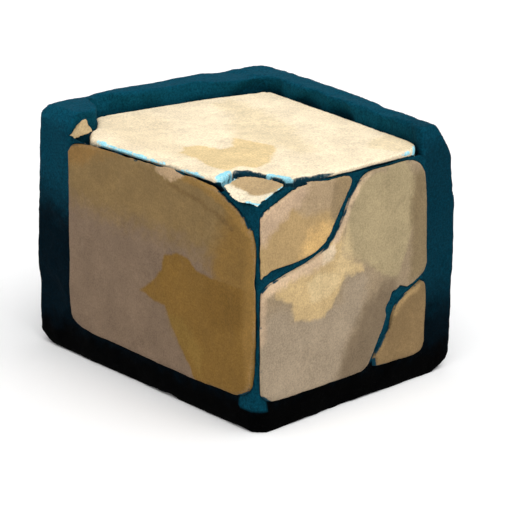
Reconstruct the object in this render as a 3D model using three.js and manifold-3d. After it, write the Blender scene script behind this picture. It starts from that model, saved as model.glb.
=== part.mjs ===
// A squared block of cracked sandstone, held in the dark host rock that it broke free with.
// The host rock is one solid: a base, a left and a back wall with a low rim, and the veins that
// fill the joints. Seven pieces of sandstone are seated in it, each a little clear of it.
//
// Millimetres, +Z up. The block is laid out from its front corner: x = 0 and y = 0 is the vertical
// edge where the front face (along -X) and the right face (along +Y) meet, and z = 0 is the foot
// of the sandstone. At the end the whole block is moved so that the origin is the middle of its
// underside.
import * as THREE from 'three';
import { ConvexGeometry } from 'three/addons/geometries/ConvexGeometry.js';
import { mergeVertices } from 'three/addons/utils/BufferGeometryUtils.js';
import Module from 'manifold-3d';

const wasm = await Module();
wasm.setup();

// Driving dimensions
const TOP = 188; // height of the sandstone's top front edge above its foot
const SLAB_RISE = 0.02; // rise of the top slab towards the back, per millimetre
const SLAB_THICKNESS = 45;
const BLOCK_DEPTH = 205; // how far the front block reaches back
const CUT = 900; // size of a cutting solid, larger than the block
const JOINT = 3; // width of a joint between two pieces of sandstone
const FIT = 0.3; // clearance between sandstone and host rock
const CHIP_FIT = 0.8; // clearance round the corners of a chip
const WORN_EDGE = 2.5; // bevel round each sandstone face
const SOFT_CORNER = 5; // how far a corner of an outline is cut back to round it
const DROP = 2; // how far the host rock stands below the top slab along the open edges
const BASE = 28; // host rock below the sandstone's foot
const RIM = 20; // host rock above the top front edge
const SPALL_DEPTH = 70; // how far the broken corner's slanting surfaces reach inwards

// Outlines of the sandstone pieces, each on its own face, counterclockwise from outside.
const TOP_SLAB = [ // x, y
  [-241, 12], [-221, 7], [-199, 3], [-160, 2], [-126, 3], [-115, 8], [-97, 3.5], [-81, 2.5],
  [-70, 6.5], [-55, 7], [-60, 21], [-63, 33], [-57, 41], [-36, 44], [-13, 48], [-11, 63],
  [-6, 80], [0, 93], [4, 120], [4, 146], [1, 167], [-3, 185], [-8, 196], [-20, 203.5],
  [-124, 219.5], [-244, 236.5], [-267, 167], [-289, 57], [-273, 47], [-254, 31], [-253, 25],
];
const FRONT = [ // x, z
  [-257, 6], [-234, 2], [-75, 0], [-24, 2.5], [-13, 9], [-8, 36], [-5.5, 59], [-3, 75],
  [-3, 134], [-8, 150], [-12, 159], [-26, 168], [-45, 177], [-58, 183], [-84, 186.5],
  [-124, 187], [-214, 185], [-250, 180], [-259, 177], [-260, 125], [-263, 34], [-262, 13],
];
const RIGHT_UPPER = [ // y, z
  [4, 108], [13, 117], [33, 118], [53, 119], [72, 124], [84, 132], [91, 146], [101, 161],
  [110, 175], [111, 182], [99, 185], [60, 185.5], [46, 185], [28, 178], [9, 171], [4, 164],
  [3.5, 140],
];
const RIGHT_MAIN = [ // y, z
  [10, 2], [21, -1], [91, -2], [131, -2], [138, 8], [146, 24], [154, 37], [160, 57], [164, 63.5],
  [171, 64.5], [182, 64], [193, 68.5], [207, 77], [206, 123], [204, 160], [201, 173], [189, 182],
  [158, 184.5], [140, 184.5], [124, 178], [111, 167], [99, 143], [86, 127], [69, 118], [39, 112],
  [12, 106], [3, 97], [2.5, 75], [3, 32], [4, 19],
];
const RIGHT_CORNER = [ // y, z
  [136, -2], [199, -3], [206, 3], [207, 48], [205, 69], [192, 63], [174, 57], [166, 47],
  [161, 35], [151, 20], [143, 9],
];

// Outer form of the host rock: at each height the corners from the front left, by the front
// corner and the right end, round the back to the left wall.
const HOST_LEVELS = [ // z, then x and y of each corner
  [-BASE, [-296, 3], [-14, 3], [-3, 14], [-3, 222], [-14, 238], [-282, 262], [-302, 246],
    [-308, 16]],
  [-16, [-316, 3], [-10, 3], [-3, 10], [-3, 243], [-290, 271], [-313, 250]],
  [60, [-316, 3], [-10, 3], [-3, 10], [-3, 245], [-290, 272], [-313, 252]],
  [134, [-309, 3], [-10, 3], [-3, 10], [-3, 244], [-289, 270], [-309, 250]],
  [180, [-306, 3], [-10, 3], [-3, 10], [-3, 237], [-288, 269], [-305, 100]],
  [200, [-303, 3], [-303, 30], [-3, 222], [-285, 268]],
  [TOP + RIM, [-296, 8], [-301, 48], [-303, 98], [-298, 193], [-287, 261], [-270, 267],
    [-160, 251], [-3, 217], [-3, 10], [-10, 8]],
];
// Where the host rock stays below the top edge: along the front and along the right face.
const OPEN_EDGE = [[-262, -9], [20, -9], [20, 198], [-20, 198], [-20, 60], [-70, 60], [-70, 16],
  [-246, 18]]; // x, y
// What is broken away from the blocks at the front corner, on each face.
const FRONT_SPALL = [ // x, z
  [-3, 130], [30, 130], [30, 230], [-84, 230], [-84, 186.5], [-58, 183], [-45, 177], [-26, 168],
  [-12, 159], [-8, 150],
];
const RIGHT_SPALL = [ // y, z
  [-30, 120], [3.5, 120], [4, 164], [9, 171], [28, 178], [46, 185], [60, 185.5], [60, 230],
  [-30, 230],
];

// The two chips: a rim of corners, with one point in front of it and one behind, in x, y, z.
const FRONT_CHIP_RIM = [
  [-45, 1, 185], [-36, 0.5, 179.5], [-28, 0.5, 176], [-19, 0.5, 176.5], [-9, 0.5, 178],
  [-0.5, 0.5, 177], [-0.5, 7, 180], [-0.5, 20, 185], [-1, 31, 188.5], [-6, 37, 188.5],
  [-18, 39, 188.5], [-30, 38, 188.5], [-41, 35, 188.5], [-48, 29, 188.5], [-50, 20, 188],
  [-47, 9, 187.5],
];
const FRONT_CHIP_MIDDLES = [[-26, 15, 180.5], [-25, 17, 172]];
const ABOVE_CORNER = [20, -20, 230]; // clear space above the front corner chip
const LEFT_CHIP_RIM = [
  [-261, 4, 186], [-253, 2, 186], [-249, 2, 184.5], [-244, 5, 186], [-239, 8, 188.5],
  [-237, 10, 190], [-234, 12, 194], [-241, 12, 199], [-244, 14, 200.5], [-248, 14, 203],
  [-251, 12, 201], [-257, 8, 193],
];
const LEFT_CHIP_MIDDLES = [[-246, 4, 192], [-251, 20, 191]];

// Each face's own axes: along the face, up the face, and out of the stone.
const axes = (along, up, out) => new THREE.Matrix4().makeBasis(
  new THREE.Vector3(...along), new THREE.Vector3(...up), new THREE.Vector3(...out));
const FACES = {
  front: axes([1, 0, 0], [0, 0, 1], [0, -1, 0]),
  right: axes([0, 1, 0], [0, 0, 1], [1, 0, 0]),
  top: axes([1, 0, 0], [0, 1, SLAB_RISE], [0, 0, 1]).setPosition(0, 0, TOP),
  frontSlant: axes([1, 0, 0], [0, 0, 1], [0, -1, 1]),
  rightSlant: axes([0, 1, 0], [0, 0, 1], [1, 0, 1]),
};

// A closed three.js geometry as a solid that can be cut and joined
function solid(geometry) {
  const bare = geometry.index ? geometry.clone() : geometry;
  bare.deleteAttribute('normal');
  bare.deleteAttribute('uv');
  const merged = mergeVertices(bare, 1e-4);
  return new wasm.Manifold(new wasm.Mesh({
    numProp: 3,
    vertProperties: new Float32Array(merged.attributes.position.array),
    triVerts: new Uint32Array(merged.index.array),
  }));
}

// An outline with its corners softened
function softOutline(points) {
  const corners = points.map(([u, v]) => new THREE.Vector2(u, v));
  const cutBack = (corner, other) => {
    const reach = Math.min(SOFT_CORNER, corner.distanceTo(other) * 0.35);
    return other.clone().sub(corner).setLength(reach).add(corner);
  };
  const softened = corners.flatMap((corner, i) => [
    cutBack(corner, corners.at(i - 1)),
    cutBack(corner, corners[(i + 1) % corners.length]),
  ]);
  return new THREE.Shape(softened);
}

// A piece of stone whose outline lies on a face: bevelled there, and reaching inwards.
// grow makes it larger all round, for the pocket that it sits in.
function plate(points, face, depth, grow = 0) {
  const inner = depth - 2 * WORN_EDGE + 2 * grow;
  const geometry = new THREE.ExtrudeGeometry(softOutline(points), {
    depth: inner,
    bevelSize: WORN_EDGE,
    bevelThickness: WORN_EDGE,
    bevelOffset: grow - WORN_EDGE,
    bevelSegments: 2,
  });
  geometry.translate(0, 0, grow - inner - WORN_EDGE);
  return solid(geometry.applyMatrix4(FACES[face]));
}

// A prism over an outline, from low to high along its third axis
function prism(points, low, high, axesOfFace = new THREE.Matrix4()) {
  const shape = new THREE.Shape(points.map(([u, v]) => new THREE.Vector2(u, v)));
  const geometry = new THREE.ExtrudeGeometry(shape, { depth: high - low, bevelEnabled: false });
  return solid(geometry.translate(0, 0, low).applyMatrix4(axesOfFace));
}

// Everything further than a distance along a direction from a point
function beyond(direction, distance, point = [0, 0, 0]) {
  const normal = new THREE.Vector3(...direction).normalize();
  const box = new THREE.BoxGeometry(CUT, CUT, CUT);
  box.translate(0, 0, CUT / 2 + distance);
  box.applyQuaternion(new THREE.Quaternion().setFromUnitVectors(
    new THREE.Vector3(0, 0, 1), normal));
  return solid(box.translate(...point));
}

// A chip: a rim of corners joined to a point in front and to a point behind.
// grow moves every corner outwards.
function chip(rim, [front, back], grow = 0) {
  const corners = [...rim, front, back].map((p) => new THREE.Vector3(...p));
  const frontAt = rim.length;
  const triangles = rim.flatMap((_, i) => {
    const next = (i + 1) % rim.length;
    return [i, next, frontAt, next, i, frontAt + 1];
  });
  const geometry = new THREE.BufferGeometry().setFromPoints(corners);
  geometry.setIndex(triangles);
  geometry.computeVertexNormals();
  const { position, normal } = geometry.attributes;
  corners.forEach((corner, i) => {
    corner.addScaledVector(new THREE.Vector3().fromBufferAttribute(normal, i), grow);
    position.setXYZ(i, corner.x, corner.y, corner.z);
  });
  return solid(geometry);
}

const frontChip = (grow) => chip(FRONT_CHIP_RIM, FRONT_CHIP_MIDDLES, grow);
const leftChip = (grow) => chip(LEFT_CHIP_RIM, LEFT_CHIP_MIDDLES, grow);

// The top slab overlaps the blocks below it along a slanting joint at each shown edge.
function topSlab(grow = 0) {
  const edge = JOINT / 2 - grow;
  return plate(TOP_SLAB, 'top', SLAB_THICKNESS, grow)
    .subtract(beyond([0, -1, -1], -edge, [0, 0, TOP]))
    .subtract(beyond([1, 0, -1], -edge, [0, 0, TOP]));
}

// The host rock left in place of what broke away behind a block's edge, slanting down inwards
function spall(points, face, grow) {
  const placed = FACES[face].clone().setPosition(0, 0, WORN_EDGE + 1.5 * grow);
  return prism(points, -SPALL_DEPTH, -WORN_EDGE, placed);
}

// The blocks below the slab meet in an upright joint that runs inwards from the front corner.
const underSlab = topSlab(JOINT);
const CORNER_OUT = [1, 1, 0];
const CORNER_IN = [-1, -1, 0];

function frontBlock(grow = 0) {
  return plate(FRONT, 'front', BLOCK_DEPTH, grow)
    .subtract(beyond(CORNER_OUT, grow - JOINT / 2))
    .subtract(spall(FRONT_SPALL, 'frontSlant', grow))
    .subtract(grow ? topSlab(JOINT - grow) : underSlab);
}

function rightBlock(outline, grow = 0) {
  return plate(outline, 'right', BLOCK_DEPTH + 2 * JOINT, grow)
    .subtract(beyond(CORNER_IN, grow - JOINT / 2))
    .subtract(grow ? topSlab(JOINT - grow) : underSlab);
}

function rightUpperBlock(grow = 0) {
  return rightBlock(RIGHT_UPPER, grow).subtract(spall(RIGHT_SPALL, 'rightSlant', grow));
}

// The host rock: the outer form, opened above the sandstone, with a pocket for every piece
function hostRock() {
  const corners = HOST_LEVELS.flatMap(
    ([z, ...level]) => level.map(([x, y]) => new THREE.Vector3(x, y, z)));
  const high = 3 * RIM;
  let rock = solid(new ConvexGeometry(corners))
    .subtract(prism(TOP_SLAB, 0, high, FACES.top))
    .subtract(prism(OPEN_EDGE, TOP - DROP, TOP + high));
  const pockets = [
    topSlab(FIT),
    frontBlock(FIT),
    rightUpperBlock(FIT),
    rightBlock(RIGHT_MAIN, FIT),
    rightBlock(RIGHT_CORNER, FIT),
    frontChip(CHIP_FIT),
    chip(FRONT_CHIP_RIM, [ABOVE_CORNER, FRONT_CHIP_MIDDLES[1]], CHIP_FIT),
    leftChip(CHIP_FIT),
  ];
  for (const pocket of pockets) {
    rock = rock.subtract(pocket);
  }
  return rock;
}

const stone = (colour) => new THREE.MeshStandardMaterial({ color: colour, roughness: 0.9 });
const MATERIALS = {
  dark: new THREE.MeshStandardMaterial({ color: 0x0e3c4c, roughness: 0.85 }),
  cream: stone(0xf7e6c4),
  tan: stone(0xbe9b73),
  brown: stone(0x876946),
};

function node(name, body, material) {
  const mesh = body.getMesh();
  const geometry = new THREE.BufferGeometry();
  geometry.setAttribute('position', new THREE.BufferAttribute(mesh.vertProperties, 3));
  geometry.setIndex(new THREE.BufferAttribute(mesh.triVerts, 1));
  geometry.computeVertexNormals();
  const part = new THREE.Mesh(geometry, material);
  part.name = name;
  return part;
}

const block = new THREE.Group();
block.add(
  node('host_rock', hostRock(), MATERIALS.dark),
  node('top_slab', topSlab().subtract(leftChip(CHIP_FIT)), MATERIALS.cream),
  node('front_block', frontBlock(), MATERIALS.brown),
  node('right_upper_block', rightUpperBlock(), MATERIALS.tan),
  node('right_main_block', rightBlock(RIGHT_MAIN), MATERIALS.tan),
  node('right_corner_block', rightBlock(RIGHT_CORNER), MATERIALS.brown),
  node('front_corner_chip', frontChip(0), MATERIALS.cream),
  node('left_corner_chip', leftChip(0), MATERIALS.tan),
);

// The origin goes to the middle of the underside.
const bounds = new THREE.Box3().setFromObject(block);
const middle = bounds.getCenter(new THREE.Vector3());
block.position.set(-middle.x, -middle.y, -bounds.min.z);

export default block;
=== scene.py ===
"""A squared block of cracked sandstone, held in the dark host rock that fills its joints.

Each piece takes its place and form from its CAD node. It gets an even skin of small faces, and is
then worn, chipped and roughened. Sizes in this script are millimetres in the block's own frame
unless a comment says otherwise: x = 0 and y = 0 is the upright front corner edge, the front face
runs along -X, the right face along +Y, and z = 0 is the foot of the sandstone.
"""
import math

import bpy
import numpy as np
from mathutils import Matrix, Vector

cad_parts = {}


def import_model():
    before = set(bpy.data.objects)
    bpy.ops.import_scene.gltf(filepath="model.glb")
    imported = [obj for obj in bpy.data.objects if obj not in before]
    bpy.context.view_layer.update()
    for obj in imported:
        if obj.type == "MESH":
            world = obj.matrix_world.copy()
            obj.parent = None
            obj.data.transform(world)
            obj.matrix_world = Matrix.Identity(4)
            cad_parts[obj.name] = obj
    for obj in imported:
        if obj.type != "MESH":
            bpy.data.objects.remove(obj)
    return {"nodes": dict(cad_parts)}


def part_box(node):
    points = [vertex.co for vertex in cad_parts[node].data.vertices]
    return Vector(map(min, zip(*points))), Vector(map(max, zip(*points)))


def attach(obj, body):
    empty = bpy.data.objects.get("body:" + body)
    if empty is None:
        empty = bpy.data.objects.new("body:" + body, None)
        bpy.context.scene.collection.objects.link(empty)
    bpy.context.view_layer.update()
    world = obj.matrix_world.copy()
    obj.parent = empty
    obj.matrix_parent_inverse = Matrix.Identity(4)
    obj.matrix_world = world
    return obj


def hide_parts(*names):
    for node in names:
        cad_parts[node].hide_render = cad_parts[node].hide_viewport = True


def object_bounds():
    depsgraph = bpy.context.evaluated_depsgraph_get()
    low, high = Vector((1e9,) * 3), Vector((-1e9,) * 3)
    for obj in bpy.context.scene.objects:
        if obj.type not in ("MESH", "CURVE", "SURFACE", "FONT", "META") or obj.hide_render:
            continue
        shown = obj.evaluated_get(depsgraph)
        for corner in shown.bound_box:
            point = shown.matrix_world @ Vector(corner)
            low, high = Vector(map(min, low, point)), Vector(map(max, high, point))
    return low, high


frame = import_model()
cad_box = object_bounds()

MM = 0.001
LENGTH = 260  # of the sandstone, along x
DEPTH = 205  # of the sandstone, along y
TOP = 188  # height of the top slab's front edge
SLAB_RISE = 0.02  # rise of the top slab towards the back, per millimetre
BASE = 28  # host rock below the sandstone's foot
JOINT_DEPTH = 3  # how far the host rock in the joints stands behind the sandstone's faces
JOINT_DROP = 2  # how far it stands below the top
SLAB_JOINT_DROP = 14  # how far it stands below the top where the slab lies
CLEARANCE = 0.3  # between sandstone and host rock

ORIGIN = np.array([
    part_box("right_main_block")[1].x,
    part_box("front_block")[0].y,
    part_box("host_rock")[0].z + BASE * MM,
])


def local(points):
    """Points of the row frame, in metres, as millimetres in the block's own frame."""
    return (points - ORIGIN) / MM


def world(*point):
    """A point of the block's own frame, in metres in the row frame."""
    return ORIGIN + np.array(point) * MM


# ---------------------------------------------------------------- mesh work

SCAR_RIM = 0.4  # share of a scar's radius over which it runs out


def vectors(items, field):
    """A field of three numbers, for each of a mesh's vertices or normals."""
    found = np.empty(len(items) * 3, np.float32)
    items.foreach_get(field, found)
    return found.reshape(-1, 3).astype(float)


def set_points(mesh, points):
    mesh.vertices.foreach_set("co", points.astype(np.float32).ravel())
    mesh.update()


def new_piece(name, mesh):
    piece = bpy.data.objects.new(name, mesh)
    bpy.context.scene.collection.objects.link(piece)
    return piece


def modify(piece, kind, **settings):
    modifier = piece.modifiers.new(kind.lower(), kind)
    for key, value in settings.items():
        setattr(modifier, key, value)


def modified(piece):
    """The piece as its modifiers make it."""
    return piece.evaluated_get(bpy.context.evaluated_depsgraph_get())


def apply_modifiers(piece):
    """Makes the piece's modifiers part of its mesh."""
    shaped = bpy.data.meshes.new_from_object(modified(piece))
    piece.modifiers.clear()
    piece.data = shaped


def uneven(piece, size, height):
    """Raises and lowers the surface by noise with lumps of this size and height."""
    texture = bpy.data.textures.new(f"{piece.name}_{size}", "CLOUDS")
    texture.noise_scale = size * MM
    modify(piece, "DISPLACE", texture=texture, strength=height * MM, mid_level=0.5,
           texture_coords="GLOBAL")


def scar(points, centre, normal, radius):
    """Takes away what stands above a plane within a radius of a point, all in metres."""
    offset = points - centre
    near = np.linalg.norm(offset, axis=1) < radius
    offset = offset[near]
    fade = np.clip((1 - np.linalg.norm(offset, axis=1) / radius) / SCAR_RIM, 0, 1)
    points[near] -= np.outer(np.maximum(offset @ normal, 0) * fade, normal)


def chip_away(piece, seed, scars, wear=1, allowed=None):
    """Flat scars all over the piece, or round the allowed vertices only."""
    draw = np.random.default_rng(seed)
    points = vectors(piece.data.vertices, "co")
    normals = vectors(piece.data.vertex_normals, "vector")
    places = np.arange(len(points)) if allowed is None else np.flatnonzero(allowed)
    for _ in range(scars["number"]):
        at = draw.choice(places)
        radius = draw.uniform(*np.multiply(scars["radius"], wear)) * MM
        normal = normals[at] + draw.normal(0, scars["tilt"], 3)
        normal /= np.linalg.norm(normal)
        centre = points[at] - normal * draw.uniform(*np.multiply(scars["depth"], wear)) * MM
        scar(points, centre, normal, radius)
    set_points(piece.data, points)


def convexity(piece):
    """How far each vertex stands out from a softened copy of the surface."""
    modify(piece, "SMOOTH", factor=0.5, iterations=14)
    soft = vectors(modified(piece).data.vertices, "co")
    piece.modifiers.clear()
    sharp = vectors(piece.data.vertices, "co")
    normals = vectors(piece.data.vertex_normals, "vector")
    return ((sharp - soft) * normals).sum(1) / MM


def attribute(piece, name, values):
    """Stores a number for each vertex, for the materials to use."""
    made = piece.data.attributes.new(name, "FLOAT", "POINT")
    made.data.foreach_set("value", np.asarray(values, np.float32))


def depth_inside(points):
    """How far points lie behind the block's nearest open face."""
    x, y, z = points.T
    return np.minimum.reduce([y, -x, TOP + SLAB_RISE * y - z])


# ---------------------------------------------------------------- marks on a face


def distance_to_line(points, line):
    """Distance of points in a plane to a line of corners."""
    nearest = np.full(len(points), np.inf)
    for start, end in zip(line, line[1:]):
        start, along = np.array(start, float), np.subtract(end, start)
        share = np.clip((points - start) @ along / (along @ along), 0, 1)
        gap = np.linalg.norm(points - start - np.outer(share, along), axis=1)
        nearest = np.minimum(nearest, gap)
    return nearest


def inside(points, outline):
    """Whether points in a plane lie inside an outline."""
    x, y = points.T
    crossed = np.zeros(len(points), bool)
    for (ax, ay), (bx, by) in zip(outline, outline[1:] + outline[:1]):
        if ay != by:
            crossed ^= ((ay > y) != (by > y)) & (x < (bx - ax) * (y - ay) / (by - ay) + ax)
    return crossed


def reach_of(points, outline, width):
    """How far inside a mark each point lies, negative outside: a filled outline, or a line that
    has a width."""
    if width:
        return width / 2 - distance_to_line(points, outline)
    gap = distance_to_line(points, outline + outline[:1])
    return np.where(inside(points, outline), gap, -gap)


def mark(colour, soft, ragged, strength, *outline, width=0):
    """A patch of colour on a face: the softness of its border, how far the border wanders, how strong
    the colour is, and its outline on the face. A mark with a width is a line instead."""
    return dict(colour=colour, soft=soft, ragged=ragged, strength=strength,
                outline=list(outline), width=width)


FRONT_MARKS = [  # x, z
    mark("olive brown", 18, 12, 1, (-280, 132), (-200, 122), (-150, 126), (-100, 122), (-60, 118),
         (-20, 100), (10, 100), (10, 210), (-280, 210)),
    mark("golden brown", 12, 6, 1, (-62, 112), (-45, 150), (-35, 175), (10, 175), (10, 60),
         (-40, 60)),
    mark("orange brown", 8, 8, 0.8, (-280, 158), (-235, 165), (-212, 178), (-190, 184),
         (-190, 210), (-280, 210)),
    mark("ochre", 1.6, 1.2, 1, (-156, 65), (-138, 78), (-125, 92), (-123, 105), (-105, 112),
         (-90, 112), (-78, 103), (-58, 101), (10, 101), (10, -10), (-76, -10), (-88, 12),
         (-103, 30), (-113, 45), (-121, 60), (-135, 60)),
    mark("dark ochre", 5, 4, 0.8, (-72, 72), (-62, 98), (-15, 98), (-12, 62), (-60, 55)),
    mark("light ochre", 6, 5, 0.8, (-118, 52), (-95, 54), (-70, 30), (-74, 8), (-100, 28)),
    # painted highlight: the lighter band down the corner edge, the band along the top edge towards
    # the chip, and the orange brown line along the top edge
    mark("edge highlight brown", 5, 3, 0.6, (-20, 60), (-14, 140), (-2, 160), (4, 60), (4, 10), (-14, 12)),
    mark("edge highlight brown", 3, 4, 0.8, (-100, 186), (-58, 180), (-28, 166), (-10, 152), width=12),
    mark("shaded brown", 2, 4, 0.6, (-112, 172), (-70, 166), (-32, 150), width=4),
    mark("orange brown", 1, 1, 1, (-245, 182), (-200, 186), (-130, 188), width=5),
    mark("chipped", 2, 5, 1, (-132, 180), (-112, 177), (-97, 181), (-91, 190), (-136, 190)),
]
RIGHT_UPPER_MARKS = [  # y, z
    mark("upper tan", 5, 4, 1, (30, 172), (56, 158), (88, 158), (96, 190), (30, 190)),
    mark("pink tan", 4, 5, 1, (-10, 140), (8, 142), (25, 158), (52, 172), (64, 190), (-10, 190)),
    mark("shaded tan", 3, 3, 0.9, (84, 150), (84, 162), (90, 190), (120, 190), (112, 165),
         (98, 150), (90, 144)),
    mark("golden tan", 7, 6, 1, (50, 124), (58, 142), (76, 148), (92, 144), (82, 128), (68, 118)),
]
RIGHT_MAIN_MARKS = [  # y, z
    mark("grey tan", 8, 6, 1, (-10, -10), (-10, 80), (30, 82), (45, 68), (100, 72), (104, 95),
         (130, 90), (128, 60), (108, 30), (96, -10)),
    mark("brown tan", 8, 6, 1, (92, -10), (104, 30), (130, 66), (165, 80), (165, 50), (130, -10)),
    mark("olive tan", 3, 4, 1, (99, 118), (106, 150), (120, 176), (175, 184), (192, 160),
         (192, 130), (180, 108), (168, 78), (150, 84), (128, 100), (112, 108)),
    mark("right tan", 6, 4, 1, (184, 70), (184, 130), (186, 170), (215, 180), (215, 70)),
    mark("gold", 2.5, 4, 1, (18, 96), (22, 112), (70, 122), (100, 140), (98, 112), (122, 100),
         (124, 94), (104, 96), (96, 82), (84, 68), (70, 62), (42, 68), (38, 84)),
    mark("light gold", 3, 4, 1, (60, 78), (58, 98), (72, 104), (92, 100), (98, 88), (84, 80)),
    # painted highlight: this pale pink line, the pale pink line along the crack below and the pink
    # tan line down the front edge are lighter rims along the block's edges
    mark("pale pink", 4, 4, 1, (4, 100), (30, 108), (60, 113), (80, 118), width=13),
    mark("light gold", 5, 4, 0.6, (88, 92), (96, 128), (104, 140), (112, 112), (124, 98), (112, 95)),
    mark("pale", 2, 3, 1, (74, 110), (76, 124), (90, 126), (90, 112)),
    mark("pale pink", 3, 3, 1, (92, 130), (104, 158), (118, 176), (130, 184), width=8),
    mark("pink tan", 4, 3, 0.8, (4, 98), (3, 60), width=12),
]
RIGHT_CORNER_MARKS = [  # y, z
    # painted highlight: a lighter rim along the block's upper-left edge
    mark("edge highlight tan", 3, 3, 1, (164, 46), (172, 56), (192, 64), width=10),
]
TOP_MARKS = [  # x, y
    mark("soft beige", 9, 10, 1, (-180, 128), (-150, 106), (-135, 98), (-100, 105), (-60, 108),
         (-58, 122), (-100, 142), (-140, 166), (-200, 182), (-245, 188), (-245, 164), (-200, 150)),
    mark("peach", 10, 10, 0.8, (-285, 55), (-262, 100), (-222, 92), (-182, 62), (-120, 40),
         (-130, 20), (-200, 20), (-262, 34)),
    mark("beige", 2.5, 3, 1, (-138, 34), (-149, 48), (-144, 62), (-121, 67), (-121, 80),
         (-140, 98), (-120, 105), (-95, 106), (-83, 96), (-72, 82), (-60, 68), (-57, 50),
         (-70, 44), (-68, 26), (-90, 25), (-112, 32)),
    mark("soft beige", 3, 5, 1, (-56, 215), (-46, 172), (-30, 162), (-6, 172), (5, 215)),
    # the slab's edge behind the front corner chip and along the right face, as dark as the joints
    mark("joint teal", 0.6, 1, 1, (-56, 0), (-56, 7), (-61, 21), (-64, 33), (-58, 42), (-36, 45),
         (-14, 49), (-12, 63), (-7, 80), (-1, 93), (8, 93), (8, 0)),
    # painted highlight: thin pale blue lines along the slab's edges, as rim light
    mark("light blue", 0.7, 3.5, 1, (-222, 8), (-200, 5), (-150, 4), (-100, 4), (-74, 4), width=3),
    mark("light blue", 1, 3, 1, (-64, 24), (-60, 12), width=7),
    mark("light blue", 0.6, 3, 1, (-36, 46), (-14, 50), width=4),
    mark("light blue", 0.6, 3, 1, (-14, 204), (-3, 188), (1, 170), width=3.5),
]
FRONT_CHIP_MARKS = [  # x, y
    # painted light: the pale chip colour is the lit front facet of the chip, against the painted
    # shade of its tan base; painted highlight: the light blue lines along its edges
    mark("pale chip", 2, 3, 1, (-60, -10), (-44, 8), (-30, 14), (-12, 14), (6, 30), (10, -10)),
    mark("light blue", 0.7, 2, 1, (-16, 1), (-1, 4), (-1, 18), (-3, 34), width=3),
    mark("light blue", 0.7, 2, 1, (-49, 18), (-46, 8), width=3),
]
COLOURS = {  # as shown on a screen
    "olive brown": (130, 106, 68), "golden brown": (127, 97, 49), "orange brown": (138, 104, 56),
    "ochre": (123, 92, 41), "dark ochre": (114, 84, 35), "light ochre": (128, 100, 46),
    "edge highlight brown": (146, 112, 58), "shaded brown": (108, 84, 48), "chipped": (178, 150, 116),
    "pink tan": (203, 174, 143), "shaded tan": (150, 128, 96), "golden tan": (222, 182, 120),
    "upper tan": (179, 154, 120), "right tan": (138, 119, 88),
    "grey tan": (167, 149, 125), "brown tan": (129, 111, 88), "olive tan": (176, 158, 121),
    "gold": (206, 177, 128), "light gold": (222, 195, 147), "pale pink": (217, 188, 154),
    "pale": (228, 204, 170), "edge highlight tan": (170, 141, 97), "soft beige": (246, 226, 188),
    "peach": (248, 228, 192), "beige": (239, 212, 160), "light blue": (160, 232, 250),
    "pale chip": (246, 232, 203), "joint teal": (5, 56, 72),
}
FACE_AXES = {"front": (0, 2), "right": (1, 2), "top": (0, 1)}  # across and up each face


# ---------------------------------------------------------------- shapes

BURIED = 14  # depth behind the open faces from which nothing shows
SHARP = 0.6  # convexity from which a vertex is on an edge
# Scars: radius and depth are (least, most), and tilt is how far a scar's plane leans.
FLAT_SCARS = dict(number=120, radius=(8, 20), depth=(0.1, 0.5), tilt=0.06)
EDGE_SCARS = dict(number=110, radius=(4, 10), depth=(0.1, 0.6), tilt=0.2)
HOST_SCARS = dict(number=600, radius=(12, 34), depth=(0.1, 0.7), tilt=0.045)
FILM_DEPTH = 1.9  # dark rock sticks to the sandstone from this far behind the open faces
SLAB_FILM_DEPTH = 4.5  # the same on the top slab
FILM_FACING = 0.86  # and where the surface faces them less squarely than this, from 0 to 1
FILM_FADE = 10  # how quickly it ends where the surface turns towards them
NO_FILM = -9


def is_chip(node):
    return node.endswith("chip")


def skinned(node, voxel, rounding):
    """A copy of the node with an even skin of small faces and its edges worn round."""
    piece = new_piece(node + "_stone", frame["nodes"][node].data.copy())
    modify(piece, "REMESH", mode="VOXEL", voxel_size=voxel * MM)
    modify(piece, "SMOOTH", factor=0.5, iterations=rounding)
    apply_modifiers(piece)
    return piece


def thin_out_hidden(piece):
    """Halves the number of faces, all of it where the piece is buried in the block."""
    depth = depth_inside(local(vectors(piece.data.vertices, "co")))
    group = piece.vertex_groups.new(name="hidden")
    group.add([int(i) for i in np.flatnonzero(depth > BURIED)], 1, "REPLACE")
    modify(piece, "DECIMATE", ratio=0.5, vertex_group="hidden")
    apply_modifiers(piece)
    piece.vertex_groups.clear()


def film_on(piece, places, node):
    """Above 0 where dark rock still sticks to the wall of a joint: behind the open faces, where the
    surface turns away from them."""
    if is_chip(node):
        return np.full(len(places), NO_FILM)
    normals = vectors(piece.data.vertex_normals, "vector")
    facing = np.maximum.reduce([-normals[:, 1], normals[:, 0], normals[:, 2]])
    start = SLAB_FILM_DEPTH if node == "top_slab" else FILM_DEPTH
    return np.minimum(depth_inside(places) - start, (FILM_FACING - facing) * FILM_FADE)


def finish_piece(piece, material, node):
    """Gives a piece its material, and puts it in the place of its node."""
    piece.data.materials.clear()
    piece.data.materials.append(material)
    piece.data.shade_smooth()
    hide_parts(node)
    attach(piece, "root")


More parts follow.
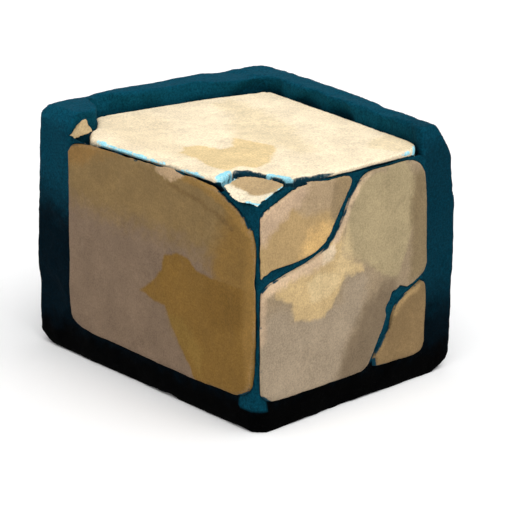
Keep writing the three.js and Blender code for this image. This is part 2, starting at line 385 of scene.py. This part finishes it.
def stone(node, slot, face, marks, base, seed, voxel, wear):
    """A piece of sandstone. Its voxel sets how fine its skin is."""
    piece = skinned(node, voxel, rounding=3 + round(4 * wear))
    uneven(piece, size=45, height=1.4 * wear)
    uneven(piece, size=14 * wear, height=0.7 * wear)
    apply_modifiers(piece)
    on_edge = convexity(piece) > SHARP * wear
    chip_away(piece, seed, FLAT_SCARS, wear)
    chip_away(piece, seed + 50, EDGE_SCARS, wear, on_edge)
    uneven(piece, size=3.5, height=0.25 * wear)
    apply_modifiers(piece)
    if not is_chip(node):
        thin_out_hidden(piece)
    attribute(piece, "edge", convexity(piece))
    places = local(vectors(piece.data.vertices, "co"))
    attribute(piece, "film", film_on(piece, places, node))
    on_face = places[:, FACE_AXES[face]]
    for i, m in enumerate(marks):
        attribute(piece, f"mark{i}", reach_of(on_face, m["outline"], m["width"]))
    finish_piece(piece, sandstone(node, face, base, marks), node)
    return piece


def joined(name, meshes):
    """One piece made of several meshes."""
    first, *rest = [new_piece(name, mesh) for mesh in meshes]
    with bpy.context.temp_override(
        active_object=first, selected_editable_objects=[first, *rest]
    ):
        bpy.ops.object.join()
    return first


def filling(node):
    """A copy of a sandstone node cut back behind the open faces, as far as host rock fills it."""
    mesh = frame["nodes"][node].data.copy()
    x, y, z = local(vectors(mesh.vertices, "co")).T
    drop = SLAB_JOINT_DROP if node == "top_slab" else JOINT_DROP
    kept = [np.minimum(x, -JOINT_DEPTH), np.maximum(y, JOINT_DEPTH), np.minimum(z, TOP - drop)]
    set_points(mesh, np.stack(kept, axis=1) * MM + ORIGIN)
    return mesh


def in_joints(points):
    """Whether points lie in the joints near the open faces, or in the foot of the front corner's."""
    x, y, z = points.T
    within = (x > 2 - LENGTH) & (y < DEPTH - 1) & (z < TOP + 2)
    shown = (y < BURIED) | (x > -BURIED)
    foot = (x > -26) & (y < 15) & (z > -9)
    return within & shown & ((z > 5) | foot)


def host_rock(stones):
    """The host rock: its rough outer form, with a pocket for every piece of sandstone."""
    meshes = [source.data.copy() if node == "host_rock" else filling(node)
              for node, source in frame["nodes"].items()]
    piece = joined("host_rock_body", meshes)
    modify(piece, "REMESH", mode="VOXEL", voxel_size=2.9 * MM)
    modify(piece, "SMOOTH", factor=0.5, iterations=3)
    uneven(piece, size=60, height=1)
    uneven(piece, size=18, height=0.8)
    apply_modifiers(piece)
    chip_away(piece, 8, HOST_SCARS)
    uneven(piece, size=5, height=0.75)
    modify(piece, "TRIANGULATE")  # the cut below never ends on faces with four corners
    apply_modifiers(piece)
    cutter = joined("pockets", [one.data.copy() for one in stones])
    modify(cutter, "DISPLACE", strength=CLEARANCE * MM, mid_level=0)
    modify(cutter, "TRIANGULATE")
    apply_modifiers(cutter)
    modify(piece, "BOOLEAN", operation="DIFFERENCE", solver="MANIFOLD", object=cutter)
    apply_modifiers(piece)
    bpy.data.objects.remove(cutter)
    attribute(piece, "vein", in_joints(local(vectors(piece.data.vertices, "co"))))
    finish_piece(piece, dark_rock(), "host_rock")


# ---------------------------------------------------------------- materials

LIGHT_ON = {"top": 1.18, "right": 1.27, "front": 1.08}  # light that each face gets
JOINT_TEAL = (0.0015, 0.036, 0.058)
BLACK = (0.0002, 0.0003, 0.0004)
DEEP_BLUE = (0.0002, 0.006, 0.011)
BLUE = (0.002, 0.046, 0.075)
MOTTLING = ((30, 0.09), (6, 0.06), (1.6, 0.17))  # size, and how much lighter and darker


def linear(rgb):
    """A screen colour as light."""
    return tuple(c / 255 / 12.92 if c <= 10 else ((c / 255 + 0.055) / 1.055) ** 2.4 for c in rgb)


class Shader:
    """A material and the few kinds of node that it needs."""

    def __init__(self, name, roughness, gloss):
        self.material = bpy.data.materials.new(name)
        self.material.use_nodes = True
        self.nodes = self.material.node_tree.nodes
        self.surface = self.nodes["Principled BSDF"]
        self.set_surface("Roughness", roughness)
        self.set_surface("Specular IOR Level", gloss)
        place = self.nodes.new("ShaderNodeTexCoord").outputs["Object"]
        moved = self.vector_math("SUBTRACT", place, tuple(ORIGIN))
        self.point = self.vector_math("SCALE", moved, scale=1 / MM)

    def plug(self, socket, value):
        if isinstance(value, bpy.types.NodeSocket):
            self.material.node_tree.links.new(value, socket)
        else:
            socket.default_value = value

    def set_surface(self, name, value):
        self.plug(self.surface.inputs[name], value)

    def vector_math(self, operation, *values, scale=None):
        node = self.nodes.new("ShaderNodeVectorMath")
        node.operation = operation
        for socket, value in zip(node.inputs, values):
            self.plug(socket, value)
        if scale is not None:
            node.inputs["Scale"].default_value = scale
        return node.outputs[0]

    def math(self, operation, *values):
        node = self.nodes.new("ShaderNodeMath")
        node.operation = operation
        for socket, value in zip(node.inputs, values):
            self.plug(socket, value)
        return node.outputs[0]

    def noise(self, size, detail=2, rough=0.5):
        """Noise with lumps of this size, about 0.5 on average."""
        node = self.nodes.new("ShaderNodeTexNoise")
        node.inputs["Scale"].default_value = 1 / size
        node.inputs["Detail"].default_value = detail
        node.inputs["Roughness"].default_value = rough
        self.plug(node.inputs["Vector"], self.point)
        return node.outputs[0]

    def wander(self, noise, reach):
        """Noise as a number from -reach to reach."""
        return self.math("MULTIPLY_ADD", noise, 2 * reach, -reach)

    def step(self, value, low, high, to_low=0, to_high=1):
        """A smooth step from to_low at low to to_high at high."""
        node = self.nodes.new("ShaderNodeMapRange")
        node.interpolation_type = "SMOOTHSTEP"
        for socket, given in zip(node.inputs, (value, low, high, to_low, to_high)):
            self.plug(socket, given)
        return node.outputs[0]

    def attribute(self, name):
        node = self.nodes.new("ShaderNodeAttribute")
        node.attribute_name = name
        return node.outputs["Fac"]

    def axis(self, index):
        node = self.nodes.new("ShaderNodeSeparateXYZ")
        self.plug(node.inputs[0], self.point)
        return node.outputs[index]

    def mix(self, factor, under, over, blend="MIX"):
        node = self.nodes.new("ShaderNodeMix")
        node.data_type = "RGBA"
        node.blend_type = blend
        for index, value in ((0, factor), (6, under), (7, over)):
            self.plug(node.inputs[index], (*value, 1) if isinstance(value, tuple) else value)
        return node.outputs[2]

    def times(self, colour, level):
        return self.mix(1.0, colour, level, "MULTIPLY")

    def bump(self, height, distance, strength, normal=None):
        node = self.nodes.new("ShaderNodeBump")
        node.inputs["Strength"].default_value = strength
        node.inputs["Distance"].default_value = distance * MM
        self.plug(node.inputs["Height"], height)
        if normal is not None:
            self.plug(node.inputs["Normal"], normal)
        return node.outputs[0]


def sandstone(name, face, base, marks):
    """Sandstone of one base colour, with marks, edges lighter for wear and as painted highlight, and
    grain.
    """
    shader = Shader(name, roughness=0.9, gloss=0.15)

    def paint(rgb):
        """The colour that looks like this screen colour in the light on the face."""
        return tuple(c / LIGHT_ON[face] for c in linear(rgb))

    colour = paint(base)
    grain = shader.noise(1.6, 3, 0.6)
    ragged = shader.noise(9, 3, 0.6)
    for i, m in enumerate(marks):
        wander = shader.wander(ragged, 1.5 * m["ragged"])
        reach = shader.math("ADD", shader.attribute(f"mark{i}"), wander)
        factor = shader.step(reach, -m["soft"], m["soft"], 0, m["strength"])
        colour = shader.mix(factor, colour, paint(COLOURS[m["colour"]]))
    # wear and painted highlight: convex edges are mixed towards a lighter colour, as edges that are
    # rubbed and that catch the light
    rough_edge = shader.math("MULTIPLY_ADD", grain, 0.8, shader.attribute("edge"))
    worn = shader.math("MULTIPLY", shader.step(rough_edge, 0.6, 1.5), 0.5)
    lighter = tuple(min(1, c * 1.25 + 0.02) for c in paint(base))
    colour = shader.mix(worn, colour, lighter)
    film = shader.math("ADD", shader.attribute("film"), shader.wander(ragged, 1.2))
    colour = shader.mix(shader.step(film, -0.4, 0.5), colour, JOINT_TEAL)
    for size, share in MOTTLING:
        level = shader.step(shader.noise(size, 2, 0.6), 0.25, 0.75, 1 - share, 1 + share)
        colour = shader.times(colour, level)
    shader.set_surface("Base Color", colour)
    fine = shader.bump(grain, distance=0.5, strength=0.6)
    coarse = shader.bump(shader.noise(7, 3), distance=0.8, strength=0.5, normal=fine)
    shader.set_surface("Normal", coarse)
    return shader.material


def dark_rock():
    """Host rock: black at the base, deep blue, then blue from a height that rises to the left, with
    teal in the joints."""
    shader = Shader("host_rock", roughness=0.85, gloss=0.02)
    x, z = shader.axis(0), shader.axis(2)
    height = shader.math("ADD", z, shader.wander(shader.noise(14, 3, 0.6), 18))
    level = shader.math("ADD", height, shader.math("MULTIPLY_ADD", x, 0.27, 15))
    colour = shader.mix(shader.step(height, -12, 14), BLACK, DEEP_BLUE)
    colour = shader.mix(shader.step(level, 30, 92), colour, BLUE)
    # painted shade: the right-hand part of the rock is darkened; painted light and shade: the rim
    # above the top is lightened and the sides below it are darkened
    painted_shade_right = shader.step(x, -70, -8, 1, 0.7)
    painted_rim_light_side_shade = shader.step(z, TOP - 2, TOP + 12, 0.78, 1.15)
    colour = shader.times(shader.times(colour, painted_shade_right), painted_rim_light_side_shade)
    colour = shader.mix(shader.attribute("vein"), colour, JOINT_TEAL)
    speckle = shader.step(shader.noise(2, 3, 0.7), 0.25, 0.8, 0.6, 1.5)
    shader.set_surface("Base Color", shader.times(colour, speckle))
    fine = shader.bump(shader.noise(2, 3, 0.6), distance=0.8, strength=0.7)
    coarse = shader.bump(shader.noise(9, 4), distance=2, strength=0.6, normal=fine)
    shader.set_surface("Normal", coarse)
    return shader.material


# ---------------------------------------------------------------- the part

STONES = [
    # node, slot, face, marks, base colour, seed, voxel, wear; thin lips and chips are worn less
    # the base colours are partly painted light and shade on one sandstone: lightest on the top, mid
    # on the right face and darkest on the front face, as the light falls from above; the front corner
    # chip's tan is painted shade on its upper facet
    ("top_slab", "cream_sandstone", "top", TOP_MARKS, (255, 236, 203), 1, 1.5, 0.5),
    ("front_block", "brown_sandstone", "front", FRONT_MARKS, (122, 102, 83), 2, 1.8, 1),
    ("right_upper_block", "tan_sandstone", "right", RIGHT_UPPER_MARKS, (185, 155, 108), 3, 1.5, 0.5),
    ("right_main_block", "tan_sandstone", "right", RIGHT_MAIN_MARKS, (160, 140, 112), 4, 1.8, 1),
    ("right_corner_block", "brown_sandstone", "right", RIGHT_CORNER_MARKS, (138, 113, 77), 5, 1.5, 1),
    ("front_corner_chip", "cream_sandstone", "top", FRONT_CHIP_MARKS, (195, 167, 125), 6, 0.7, 0.3),
    ("left_corner_chip", "tan_sandstone", "top", [], (195, 169, 126), 7, 0.6, 0.3),
]

host_rock([stone(*row) for row in STONES])

# ---------------------------------------------------------------- stage

FLOOR_SIDES = 96
FLOOR_RINGS = [  # radius and height in metres: flat, then curved up into a bowl
    (0, 0), (5, 0), (6.5, 0.25), (8, 1), (9.5, 2.4), (10.5, 4.2), (11, 6.5),
]
SUN_FROM = (78, 62)  # azimuth and elevation, in degrees
CAMERA_FROM = (47.82, 18.46)
CAMERA_TARGET = (-115.02, 102.5, 83.91)
CAMERA_DISTANCE = 1.7385  # in metres


def bowl():
    """The floor's mesh: rings of corners, with faces from each ring to the next."""
    turns = [2 * math.pi * i / FLOOR_SIDES for i in range(FLOOR_SIDES)]
    corners = [(r * math.cos(t), r * math.sin(t), h) for r, h in FLOOR_RINGS for t in turns]
    faces = []
    for ring in range(len(FLOOR_RINGS) - 1):
        here, beyond = ring * FLOOR_SIDES, (ring + 1) * FLOOR_SIDES
        for side in range(FLOOR_SIDES):
            following = (side + 1) % FLOOR_SIDES
            faces.append((here + side, here + following, beyond + following, beyond + side))
    mesh = bpy.data.meshes.new("floor")
    mesh.from_pydata(corners, [], faces)
    mesh.shade_smooth()
    return mesh


def direction(azimuth, elevation):
    """From the block outwards: azimuth 0 is in front of it, and 90 to its right."""
    a, e = math.radians(azimuth), math.radians(elevation)
    return Vector((math.sin(a) * math.cos(e), -math.cos(a) * math.cos(e), math.sin(e)))


def aim(item, name, back, distance):
    """Puts a light or camera at a distance in metres from the target, looking at it."""
    made = bpy.data.objects.new(name, item)
    bpy.context.scene.collection.objects.link(made)
    made.location = Vector(world(*CAMERA_TARGET)) + back * distance
    made.rotation_mode = "QUATERNION"
    made.rotation_quaternion = (-back).to_track_quat("-Z", "Y")
    return made


floor = new_piece("floor", bowl())
floor.location.z = cad_box[0].z
pale = Shader("floor", roughness=1, gloss=0)
pale.set_surface("Base Color", (0.93, 0.93, 0.93, 1))
floor.data.materials.append(pale.material)

scene = bpy.context.scene
scene.view_settings.view_transform = "Standard"
scene.world = bpy.data.worlds.new("studio")
scene.world.use_nodes = True
sky = scene.world.node_tree.nodes["Background"]
sky.inputs["Color"].default_value = (1, 1, 1, 1)
sky.inputs["Strength"].default_value = 0.35

sun = bpy.data.lights.new("sun", "SUN")
sun.energy = 2.75
sun.angle = math.radians(75)
aim(sun, "sun", direction(*SUN_FROM), 3)

lens = bpy.data.cameras.new("camera")
lens.lens = 135
lens.sensor_width = 36
lens.clip_end = 100
scene.camera = aim(lens, "camera", direction(*CAMERA_FROM), CAMERA_DISTANCE)
